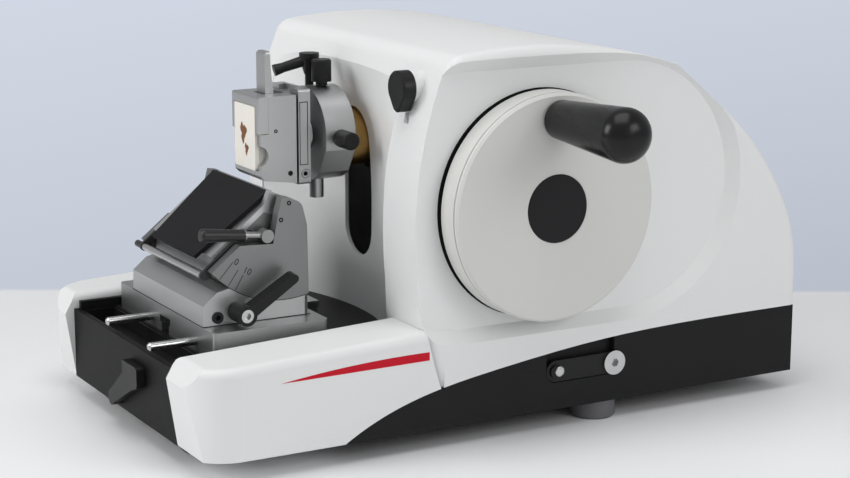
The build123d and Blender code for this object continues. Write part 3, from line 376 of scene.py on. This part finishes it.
def lettering(name, text, size, place, angle, material, body):
    """Plain figures on a face that looks along +X."""
    curve = bpy.data.curves.new(name, "FONT")
    curve.body = text
    curve.size = size
    curve.extrude = 0.00006
    curve.align_x = "CENTER"
    curve.align_y = "CENTER"
    source = bpy.data.objects.new(name + "_source", curve)
    bpy.context.scene.collection.objects.link(source)
    graph = bpy.context.evaluated_depsgraph_get()
    mesh = bpy.data.meshes.new_from_object(source.evaluated_get(graph))
    bpy.data.objects.remove(source)
    upright = Matrix(((0, 0, 1), (1, 0, 0), (0, 1, 0))).to_4x4()
    mesh.transform(Matrix.Translation(place) @ upright @ Matrix.Rotation(angle, 4, "Z"))
    return make_piece(name, mesh, material, body)


def finish_node(name, material):
    """Gives a solid of the frame its finish."""
    for place in nodes[name].material_slots:
        place.material = material


def smooth_node(name, angle=35.0):
    mesh = nodes[name].data
    mesh.shade_smooth()
    mesh.set_sharp_from_angle(angle=math.radians(angle))


class MicrotomeColours(bpy.types.PropertyGroup):
    """Colours of the instrument."""

    shell: FloatVectorProperty(
        name="Shell", description="Light paint of the housing and arms", subtype="COLOR",
        default=(0.78, 0.785, 0.78))
    wheel: FloatVectorProperty(
        name="Handwheel", description="Light paint of the handwheel", subtype="COLOR",
        default=(0.64, 0.64, 0.615))
    base: FloatVectorProperty(
        name="Base", description="Black paint of the base", subtype="COLOR",
        default=(0.007, 0.007, 0.0075))
    knob: FloatVectorProperty(
        name="Knobs", description="Black plastic of knobs and levers", subtype="COLOR",
        default=(0.006, 0.006, 0.0065))
    satin: FloatVectorProperty(
        name="Satin metal", description="Machined light metal", subtype="COLOR",
        default=(0.50, 0.505, 0.505))
    stripe: FloatVectorProperty(
        name="Stripe", description="Stripe on the right arm", subtype="COLOR",
        default=(0.55, 0.004, 0.018))


class MicrotomeStage(bpy.types.PropertyGroup):
    """Camera, lights, table and wall."""

    camera_place: FloatVectorProperty(
        name="Camera place", description="Where the camera stands", subtype="TRANSLATION",
        unit="LENGTH", default=(1.2444, -0.7173, 0.4301))
    heading: FloatProperty(
        name="Heading", description="Turn of the camera about the vertical",
        subtype="ANGLE", default=math.radians(60.565))
    tilt: FloatProperty(
        name="Tilt", description="How far the camera looks down", subtype="ANGLE",
        default=math.radians(12.3335))
    roll: FloatProperty(
        name="Roll", description="Turn of the camera about its view", subtype="ANGLE",
        default=math.radians(0.125))
    lens: FloatProperty(
        name="Lens", description="Focal length on a 36 mm wide sensor, in millimetres",
        default=87.44)
    table_edge: FloatProperty(
        name="Table edge", description="Distance from the camera to the far edge of the table",
        unit="LENGTH", default=1.755)
    room_light: FloatProperty(
        name="Room light", description="Strength of the even light from all sides",
        default=0.42, min=0.0)
    overhead_power: FloatProperty(
        name="Overhead lamp", description="Power of the lamp above",
        unit="POWER", default=8.5, min=0.0)
    front_power: FloatProperty(
        name="Front lamp", description="Power of the lamp at the front left",
        unit="POWER", default=12.0, min=0.0)
    right_power: FloatProperty(
        name="Right lamp", description="Power of the lamp at the right",
        unit="POWER", default=6.5, min=0.0)
    table: FloatVectorProperty(
        name="Table", description="Colour of the table", subtype="COLOR",
        default=(0.90, 0.905, 0.91))
    wall_low: FloatVectorProperty(
        name="Wall, low", description="Colour of the wall behind the table", subtype="COLOR",
        default=(0.52, 0.56, 0.64))
    wall_high: FloatVectorProperty(
        name="Wall, high", description="Colour of the wall higher up", subtype="COLOR",
        default=(0.62, 0.67, 0.755))


def colours():
    return bpy.context.scene.microtome_colours


class MICRO_OT_housing(bpy.types.Operator):
    """Finishes the housing and the two front arms"""

    bl_idname = "micro.housing"
    bl_label = "Housing and arms"

    def execute(self, context):
        shell = moulded_shell("shell paint", tuple(colours().shell))
        for name in ("cover", "arm_left", "arm_right"):
            finish_node(name, shell)
            smooth_node(name, 30.0)
        finish_node("knob_pointer", print_and_shade("pointer film", (0.45, 0.45, 0.45)))
        # tapered stripe on the outer side of the right arm
        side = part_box("arm_right")[1][0]
        tip, end_low, end_high = (-0.1790, 0.0614), (-0.0712, 0.0622), (-0.0712, 0.0678)
        belly, steps = 0.0019, 16
        lower = [tip, end_low]
        upper = []
        for i in range(steps):
            s = i / steps
            upper.append((end_high[0] + (tip[0] - end_high[0]) * s,
                          end_high[1] + (tip[1] - end_high[1]) * s + belly * 4 * s * (1 - s)))
        outline = [(side - 0.0001, y, z) for y, z in lower + upper]
        make_piece("arm_stripe", slab("arm_stripe", outline, 0.00022, (1, 0, 0)),
                   print_and_shade("stripe film", tuple(colours().stripe), 0.32), "frame")
        return {"FINISHED"}


class MICRO_OT_base(bpy.types.Operator):
    """Finishes the base, its panel, tray, feet and brake"""

    bl_idname = "micro.base"
    bl_label = "Base and brake"

    def execute(self, context):
        black = structured_black("base paint", tuple(colours().base))
        finish_node("base_casting", black)
        finish_node("front_panel", structured_black("panel paint", (0.004, 0.004, 0.004), 0.14))
        for name in ("base_casting", "front_panel"):
            smooth_node(name, 30.0)
        finish_node("waste_tray", knob_plastic("tray plastic", tuple(colours().knob)))
        finish_node("rubber_feet", foot_rubber("foot rubber", (0.12, 0.12, 0.125)))
        smooth_node("rubber_feet")
        knob = knob_plastic("lever plastic", tuple(colours().knob))
        finish_node("base_clamp_lever", knob)
        finish_node("brake_lever", knob)
        bright = polished("bright steel", (0.55, 0.55, 0.55))
        finish_node("brake_shaft", bright)
        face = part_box("brake_lever")[1][0]
        rings = [circle(0.0036, 32), circle(0.0036, 32, -0.0007), circle(0.0030, 32, -0.0011),
                 circle(0.0016, 32, -0.0013)]
        place = (face - 0.0001, 0.0310, 0.0405)
        button = loft_mesh("brake_button", rings, facing((1, 0, 0)), place)
        make_piece("brake_button", button, bright, "brake")
        finish_node("deck_rail", polished("rail steel", (0.48, 0.48, 0.49)))
        for name in ("base_clamp_lever", "brake_lever", "brake_shaft"):
            smooth_node(name)
        return {"FINISHED"}


class MICRO_OT_wheel(bpy.types.Operator):
    """Finishes the handwheel, its cap and grip, and the thickness and coarse feed knobs"""

    bl_idname = "micro.wheel"
    bl_label = "Handwheel and knobs"

    def execute(self, context):
        finish_node("handwheel", moulded_shell("wheel paint", tuple(colours().wheel)))
        # painted shade: a near-black ring on the recess floor just under the wheel's rim, where
        # the wheel shades the gap behind it
        gap_shade = print_and_shade("gap behind the wheel", (0.006, 0.006, 0.006), 0.7)
        centre_y, centre_z, count = 0.016, 0.1584, 96
        rings = []
        for x, reach in ((0.0989, 0.0700), (0.0992, 0.0700), (0.0992, 0.0779), (0.0989, 0.0779)):
            rings.append([Vector((x, centre_y + reach * math.cos(math.tau * i / count),
                                  centre_z + reach * math.sin(math.tau * i / count)))
                          for i in range(count)])
        make_piece("wheel_gap", ring_mesh("wheel_gap", rings), gap_shade, "frame")
        cap = knob_plastic("cap plastic", (0.006, 0.006, 0.007), 0.55)
        finish_node("wheel_cap", cap)
        grip = knob_plastic("grip plastic", (0.006, 0.006, 0.0065), 0.2)
        finish_node("handle_grip", grip)
        knob = knob_plastic("knob plastic", tuple(colours().knob))
        for name in ("thickness_knob", "coarse_wheel", "coarse_finger_knob"):
            finish_node(name, knob)
        steel = machined("shaft steel", (0.5, 0.5, 0.5), (300, 1500, 1500))
        for name in ("grip_spindle", "main_shaft", "coarse_shaft", "crank_pin", "setting_cam"):
            finish_node(name, steel)
        for name in ("handwheel", "wheel_cap", "handle_grip", "thickness_knob", "coarse_wheel",
                     "coarse_finger_knob", "grip_spindle", "main_shaft", "coarse_shaft"):
            smooth_node(name)
        return {"FINISHED"}


class MICRO_OT_mechanism(bpy.types.Operator):
    """Finishes the drive and the feed inside the housing"""

    bl_idname = "micro.mechanism"
    bl_label = "Mechanism"

    def execute(self, context):
        iron = bead_blasted("machined iron", (0.2, 0.2, 0.205), 0.5)
        for name in ("main_bearing", "guide_frame", "coarse_bearing", "carriage", "crank_disc"):
            finish_node(name, iron)
        bronze = machined("bronze", (0.62, 0.40, 0.16), (800, 800, 800), 0.3)
        for name in ("main_bushes", "carriage_bushes", "feed_nut", "sliding_gear"):
            finish_node(name, bronze)
        steel = machined("ground steel", (0.5, 0.5, 0.5), (1500, 1500, 200), 0.22)
        for name in ("guide_rods", "spline_shaft", "feed_spindle", "yoke_plate"):
            finish_node(name, steel)
            smooth_node(name)
        brass = machined("cylinder brass", (0.60, 0.38, 0.14), (1500, 60, 1500), 0.3)
        finish_node("specimen_cylinder", brass)
        smooth_node("specimen_cylinder")
        return {"FINISHED"}


class MICRO_OT_head(bpy.types.Operator):
    """Finishes the orienting head, the cassette clamp and the specimen block"""

    bl_idname = "micro.head"
    bl_label = "Specimen head"

    def execute(self, context):
        satin = bead_blasted("head metal", tuple(colours().satin), 0.38)
        for name in ("head_body", "head_plate", "cassette_clamp", "clamp_jaw", "release_lever"):
            finish_node(name, satin)
            smooth_node(name, 30.0)
        finish_node("gimbal_shell", machined("gimbal steel", (0.35, 0.35, 0.36), (900, 900, 900)))
        knob = knob_plastic("head knob plastic", tuple(colours().knob))
        for name in ("side_knob", "top_knob", "head_clamp_lever"):
            finish_node(name, knob)
            smooth_node(name)
        finish_node("cassette", print_and_shade("cassette plastic", (0.62, 0.62, 0.58)))
        finish_node("paraffin_block", wax("paraffin", (0.84, 0.81, 0.74)))
        # screws on the right side of the plate and of the clamp
        bright = polished("clamp screw steel", (0.5, 0.5, 0.5))
        dark = print_and_shade("blackened screw", (0.02, 0.02, 0.022))
        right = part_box("head_plate")[1][0]
        socket_screw("plate_screw", (right - 0.0036, -0.101, 0.170), (1, 0, 0), 0.0031, 0.0038,
                     bright, "head")
        socket_screw("clamp_screw", (right - 0.0002, -0.1125, 0.1712), (1, 0, 0), 0.0018, 0.0006,
                     dark, "head")
        socket_screw("clamp_pin", (right - 0.0002, -0.1232, 0.2012), (1, 0, 0), 0.0013, 0.0005,
                     dark, "head")
        # dark groove round the gib in the plate's side
        shadow = print_and_shade("groove shadow", (0.01, 0.01, 0.01), 0.7)
        centre_y, centre_z, half_y, half_z, width = -0.1020, 0.198, 0.0032, 0.0220, 0.0006
        for name, y, z, wide, high in (
                ("front", centre_y - half_y + width / 2, centre_z, width / 2, half_z),
                ("rear", centre_y + half_y - width / 2, centre_z, width / 2, half_z),
                ("top", centre_y, centre_z + half_z - width / 2, half_y - width, width / 2),
                ("foot", centre_y, centre_z - half_z + width / 2, half_y - width, width / 2)):
            corners = [(right - 0.0005, y + wide * a, z + high * b)
                       for a, b in ((-1, -1), (1, -1), (1, 1), (-1, 1))]
            strip(f"gib_groove_{name}", corners, (1, 0, 0), shadow, "head")
        # stained tissue in the face of the block
        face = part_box("paraffin_block")[0][1]
        stain = print_and_shade("stained tissue", (0.20, 0.085, 0.03), 0.5)
        for name, x, z, size in (("tissue_large", -0.0395, 0.1985, 0.0062),
                                 ("tissue_small", -0.0345, 0.1875, 0.0036)):
            outline = []
            for i in range(40):
                angle = math.tau * i / 40
                reach = size * (1 + 0.28 * math.sin(3 * angle + 0.6) + 0.12 * math.sin(7 * angle))
                outline.append((x + 0.7 * reach * math.cos(angle), face + 0.0001,
                                z + reach * math.sin(angle)))
            make_piece(name, slab(name, outline, 0.0002, (0, -1, 0)), stain, "head")
        return {"FINISHED"}


class MICRO_OT_knife(bpy.types.Operator):
    """Finishes the knife base, the holder, the blade and its guard"""

    bl_idname = "micro.knife"
    bl_label = "Knife holder"

    def execute(self, context):
        satin = tuple(colours().satin)
        holder = bead_blasted("holder metal", satin, 0.4)
        finish_node("holder_block", holder)
        finish_node("blade_back_plate", bead_blasted("back plate metal", shade(satin, 1.2), 0.36))
        # painted shade: the segment block gets the satin metal at half its brightness, standing in
        # for the darker reflection on its right-facing cheek
        finish_node("segment_block", bead_blasted("segment metal with painted shade", shade(satin, 0.5), 0.44))
        finish_node("knife_base", bead_blasted("knife base metal", shade(satin, 0.8), 0.4))
        for name in ("holder_block", "segment_block", "blade_back_plate", "knife_base"):
            smooth_node(name, 30.0)
        # guard: black arms on a bright rod
        guard = Finish("guard")
        middle = (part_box("segment_block")[0][0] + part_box("segment_block")[1][0]) / 2
        from_middle = guard.axis("X") - middle
        from_middle = from_middle.math("ABSOLUTE", from_middle)
        arms = from_middle.above(0.0508, 0.0002)
        guard.set("Base Color", guard.mix(arms, (0.55, 0.55, 0.56), (0.016, 0.016, 0.017)))
        guard.set("Metallic", 1.0 - arms)
        guard.set("Roughness", 0.28 + guard.noise(400.0, 3.0) * 0.1 + arms * 0.1)
        finish_node("knife_guard", guard.material)
        smooth_node("knife_guard")
        finish_node("blade", machined("blade steel", (0.62, 0.62, 0.63), (40, 2000, 2000), 0.18))
        plate = structured_black("plate coating", (0.008, 0.008, 0.009), 0.14)
        finish_node("pressure_plate", plate)
        finish_node("clearance_lever", knob_plastic("knife lever plastic", tuple(colours().knob)))
        # blade lever: plastic handle on a steel stem
        lever = Finish("blade lever")
        handle = 1.0 - lever.axis("Y").above(-0.1660, 0.0003)
        wear = lever.noise(200.0, 3.0)
        lever.set("Base Color", lever.mix(handle, (0.30, 0.30, 0.30), tuple(colours().knob)))
        lever.set("Metallic", 1.0 - handle)
        lever.set("Roughness", 0.26 + wear * 0.1 + handle * 0.06)
        finish_node("blade_lever", lever.material)
        bright = polished("polished steel", (0.52, 0.52, 0.52))
        for name in ("base_pins", "lever_screw"):
            finish_node(name, bright)
        for name in ("blade_lever", "clearance_lever", "base_pins", "lever_screw"):
            smooth_node(name)
        dark = print_and_shade("blackened steel", (0.02, 0.02, 0.022))
        finish_node("eccentric_screws", dark)
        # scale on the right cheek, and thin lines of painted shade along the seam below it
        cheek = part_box("segment_block")[1][0] - 0.0001
        ink_and_shade = print_and_shade("scale ink", (0.01, 0.01, 0.011))
        edge_y, edge_z, joint, half_line = -0.1377, 0.1653, 0.0710, 0.00022
        for number, (y, z) in enumerate(((-0.1752, 0.1240), (-0.1717, 0.1182), (-0.1681, 0.1144))):
            near = Vector((cheek, y, z))
            ray = Vector((0, y - edge_y, z - edge_z)).normalized()
            far = Vector((cheek, edge_y, edge_z)) + ray * (joint - 0.0006)
            across = ray.cross(Vector((1, 0, 0))) * half_line
            outline = [near - across, near + across, far + across, far - across]
            name = f"scale_line_{number}"
            make_piece(name, slab(name, outline, 0.00018, (1, 0, 0)), ink_and_shade, "segment")
        for figure, y, z in (("0", -0.1728, 0.1236), ("10", -0.1650, 0.1166)):
            lettering(f"scale_figure_{figure}", figure, 0.0062, (cheek + 0.0001, y, z),
                      math.radians(-29), ink_and_shade, "segment")
        (low_x, low_y, low_z), (high_x, high_y, _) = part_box("holder_block")
        joint_width = 0.0005
        high_z = low_z + joint_width
        front = [(low_x, low_y, low_z), (high_x, low_y, low_z), (high_x, low_y, high_z),
                 (low_x, low_y, high_z)]
        flank = [(high_x, low_y, low_z), (high_x, high_y, low_z), (high_x, high_y, high_z),
                 (high_x, low_y, high_z)]
        # painted shade: thin near-black strips along the holder's lower front and right edges, at
        # the seam
        strip("holder_seam_shade_front", front, (0, -1, 0), ink_and_shade, "holder")
        strip("holder_seam_shade_flank", flank, (1, 0, 0), ink_and_shade, "holder")
        # painted shade: a thin near-black arc along the seam on the cheek
        angles = [math.radians(-136 + 2 * i) for i in range(30)]
        outline = [(cheek, edge_y + reach * math.cos(angle), edge_z + reach * math.sin(angle))
                   for reach, row in ((joint, angles), (joint + joint_width, angles[::-1]))
                   for angle in row]
        make_piece("segment_seam_shade", slab("segment_seam_shade", outline, 0.00016, (1, 0, 0)), ink_and_shade,
                   "holder")
        for name, y, z in (("cheek_screw_upper", -0.1338, 0.1597),
                           ("cheek_screw_lower", -0.1398, 0.1488)):
            socket_screw(name, (cheek - 0.0002, y, z), (1, 0, 0), 0.0016, 0.0006, dark,
                         "segment")
        return {"FINISHED"}


class MICRO_OT_stage(bpy.types.Operator):
    """Sets up the table, the wall, the lights and the camera"""

    bl_idname = "micro.stage"
    bl_label = "Stage"

    def execute(self, context):
        stage = context.scene.microtome_stage
        scene = context.scene
        ahead = Vector((-math.sin(stage.heading), math.cos(stage.heading), 0.0))
        # table, with the wall's colour beyond its far edge
        mesh = bpy.data.meshes.new("table")
        bm = bmesh.new()
        bmesh.ops.create_grid(bm, x_segments=1, y_segments=1, size=6.0)
        bm.to_mesh(mesh)
        bm.free()
        table = bpy.data.objects.new("table", mesh)
        scene.collection.objects.link(table)
        top = Finish("table top", Roughness=0.5)
        reach = stage.table_edge + Vector(stage.camera_place).dot(ahead)
        along = top.axis("X") * ahead.x + top.axis("Y") * ahead.y
        beyond = along.above(reach, 0.012)
        grain = top.noise(700.0, 2.0)
        top.set("Base Color", top.mix(grain, shade(tuple(stage.table), 0.985),
                                      shade(tuple(stage.table), 1.01)))
        away = along - Vector(stage.camera_place).dot(ahead)
        across = Vector((math.cos(stage.heading), math.sin(stage.heading), 0.0))
        beside = top.axis("X") * across.x + top.axis("Y") * across.y
        beside = (beside - Vector(stage.camera_place).dot(across)) / away
        height = (1.0 - stage.table_edge / away) / 0.6
        low, high = tuple(stage.wall_low), tuple(stage.wall_high)
        # painted light on the wall beyond the table's far edge: lighter to the left, darker to the
        # right, and from the low to the high wall colour upwards; it glows, for the camera only
        left = top.mix(height.clamp(), shade(low, 1.06), shade(high, 1.03))
        right = top.mix(height.clamp(), shade(low, 0.93), shade(high, 0.96))
        wall = top.mix((beside / 0.4 + 0.5).clamp(), left, right)
        glow = top.node("ShaderNodeEmission", inputs={"Color": wall})
        seen = top.node("ShaderNodeLightPath", output=0)
        merge = top.tree.nodes.new("ShaderNodeMixShader")
        connect(top.tree, merge.inputs[0], beyond * seen)
        top.tree.links.new(top.shader.outputs[0], merge.inputs[1])
        connect(top.tree, merge.inputs[2], glow)
        output = top.tree.nodes["Material Output"]
        top.tree.links.new(merge.outputs[0], output.inputs["Surface"])
        mesh.materials.append(top.material)
        # world: even light, and the wall's colour where the camera sees it
        world = bpy.data.worlds.new("studio")
        scene.world = world
        world.use_nodes = True
        tree = world.node_tree
        light = tree.nodes["Background"]
        light.inputs["Color"].default_value = (0.97, 0.975, 1.0, 1.0)
        light.inputs["Strength"].default_value = stage.room_light
        wall = tree.nodes.new("ShaderNodeBackground")
        where = tree.nodes.new("ShaderNodeTexCoord")
        split = tree.nodes.new("ShaderNodeSeparateXYZ")
        tree.links.new(where.outputs["Generated"], split.inputs[0])
        ramp = tree.nodes.new("ShaderNodeMapRange")
        ramp.inputs["From Min"].default_value = -0.24
        ramp.inputs["From Max"].default_value = -0.10
        tree.links.new(split.outputs["Z"], ramp.inputs["Value"])
        mix = tree.nodes.new("ShaderNodeMix")
        mix.data_type = "RGBA"
        tree.links.new(ramp.outputs[0], mix.inputs[0])
        mix.inputs[6].default_value = (*stage.wall_low, 1.0)
        mix.inputs[7].default_value = (*stage.wall_high, 1.0)
        tree.links.new(mix.outputs[2], wall.inputs["Color"])
        path = tree.nodes.new("ShaderNodeLightPath")
        choose = tree.nodes.new("ShaderNodeMixShader")
        tree.links.new(path.outputs["Is Camera Ray"], choose.inputs[0])
        tree.links.new(light.outputs[0], choose.inputs[1])
        tree.links.new(wall.outputs[0], choose.inputs[2])
        tree.links.new(choose.outputs[0], tree.nodes["World Output"].inputs["Surface"])
        # soft lights
        aim = Vector((0.0, 0.0, 0.1))
        for name, place, size, power in (
                ("overhead", (0.3, -0.2, 1.5), 1.1, stage.overhead_power),
                ("front_left", (-0.4, -1.6, 0.9), 0.8, stage.front_power),
                ("right", (1.6, 0.6, 0.9), 0.8, stage.right_power)):
            lamp = bpy.data.lights.new(name, "AREA")
            lamp.shape = "SQUARE"
            lamp.size = size
            lamp.energy = power
            holder = bpy.data.objects.new(name, lamp)
            holder.location = place
            direction = aim - Vector(place)
            holder.rotation_euler = direction.to_track_quat("-Z", "Y").to_euler()
            scene.collection.objects.link(holder)
        camera = bpy.data.cameras.new("camera")
        camera.lens = stage.lens
        camera.sensor_width = 36.0
        camera.clip_end = 50.0
        eye = bpy.data.objects.new("camera", camera)
        eye.location = stage.camera_place
        turn = (Matrix.Rotation(stage.heading, 4, "Z")
                @ Matrix.Rotation(math.pi / 2 - stage.tilt, 4, "X")
                @ Matrix.Rotation(stage.roll, 4, "Z"))
        eye.rotation_euler = turn.to_euler()
        scene.collection.objects.link(eye)
        scene.camera = eye
        scene.view_settings.view_transform = "Standard"
        return {"FINISHED"}


class MICRO_PT_panel(bpy.types.Panel):
    """Shows the colours, the stage settings and a button for each step"""

    bl_idname = "MICRO_PT_panel"
    bl_label = "Microtome"
    bl_space_type = "VIEW_3D"
    bl_region_type = "UI"
    bl_category = "Microtome"

    def draw(self, context):
        for group in (context.scene.microtome_colours, context.scene.microtome_stage):
            for name in group.__annotations__:
                self.layout.prop(group, name)
        for step in STEPS:
            self.layout.operator(step.bl_idname)


STEPS = (MICRO_OT_housing, MICRO_OT_base, MICRO_OT_wheel, MICRO_OT_mechanism, MICRO_OT_head,
         MICRO_OT_knife, MICRO_OT_stage)
GROUPS = (MicrotomeColours, MicrotomeStage)


def register():
    for item in GROUPS + STEPS + (MICRO_PT_panel,):
        bpy.utils.register_class(item)
    bpy.types.Scene.microtome_colours = bpy.props.PointerProperty(type=MicrotomeColours)
    bpy.types.Scene.microtome_stage = bpy.props.PointerProperty(type=MicrotomeStage)


def unregister():
    del bpy.types.Scene.microtome_stage
    del bpy.types.Scene.microtome_colours
    for item in reversed(GROUPS + STEPS + (MICRO_PT_panel,)):
        bpy.utils.unregister_class(item)


def main():
    register()
    for step in STEPS:
        group, name = step.bl_idname.split(".")
        getattr(getattr(bpy.ops, group), name)()


if __name__ == "__main__":
    main()
